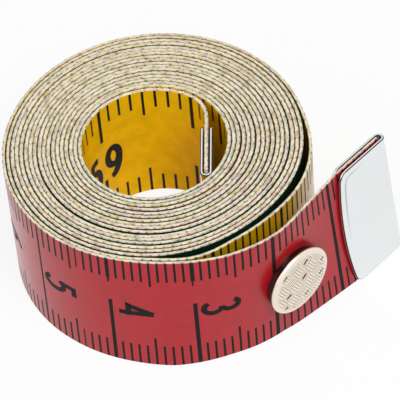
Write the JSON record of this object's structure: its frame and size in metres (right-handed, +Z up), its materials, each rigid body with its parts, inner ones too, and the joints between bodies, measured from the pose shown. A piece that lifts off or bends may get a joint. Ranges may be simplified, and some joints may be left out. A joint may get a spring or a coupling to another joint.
{
  "type": "cloth tape measure",
  "caption": "Soft printed tape measure, wound into a roll that stands on its edge, with folded metal end clips and a press stud that holds the free end to the roll.",
  "frame": {"origin": "under the middle of the whole object's box, on the surface that it stands on", "axes": "+Z up along the roll's axis, +X towards the side where the zero end stands out, -Y towards the viewer"},
  "size_m": [0.046, 0.0368, 0.018],
  "materials": {
    "printed_tape": "woven core with glossy printed vinyl coats in red, yellow and green blocks",
    "clip_nickel": "bright nickel plate",
    "cap_nickel": "warm nickel plate with a fine engraved hatch",
    "snap_nickel": "dull nickel plate",
    "spring_brass": "bare wire"
  },
  "bodies": {
    "roll": {"tape_roll": "printed_tape", "snap_stud": "snap_nickel", "stud_eyelet": "snap_nickel"},
    "strap_neck": {"tape_neck": "printed_tape"},
    "strap_snap": {"tape_snap_panel": "printed_tape", "snap_cap": "cap_nickel", "snap_cap_post": "snap_nickel", "snap_socket": "snap_nickel", "socket_spring": "spring_brass"},
    "strap_tip": {"tape_tip": "printed_tape", "zero_end_clip": "clip_nickel"},
    "inner_tail": {"tape_inner_tail": "printed_tape", "far_end_clip": "clip_nickel"}
  },
  "joints": [
    {"name": "strap_root_bend", "type": "hinge", "parent": "roll", "child": "strap_neck", "pos_m": [-0.00993, -0.01694, 0.009], "axis": [0, 0, -1], "range_deg": [0, 60]},
    {"name": "strap_crease_bend", "type": "hinge", "parent": "strap_neck", "child": "strap_snap", "pos_m": [0.00578, -0.0167, 0.009], "axis": [0, 0, -1], "range_deg": [0, 36]},
    {"name": "strap_tip_bend", "type": "hinge", "parent": "strap_snap", "child": "strap_tip", "pos_m": [0.01361, -0.01002, 0.009], "axis": [0, 0, -1], "range_deg": [0, 6]},
    {"name": "inner_tail_bend", "type": "hinge", "parent": "roll", "child": "inner_tail", "pos_m": [-0.0001, 0.00754, 0.009], "axis": [0, 0, -1], "range_deg": [0, 30]}
  ],
  "couplings": [
    {"joint": "strap_crease_bend", "follows": "strap_root_bend", "ratio": 0.6},
    {"joint": "strap_tip_bend", "follows": "strap_root_bend", "ratio": 0.1}
  ]
}
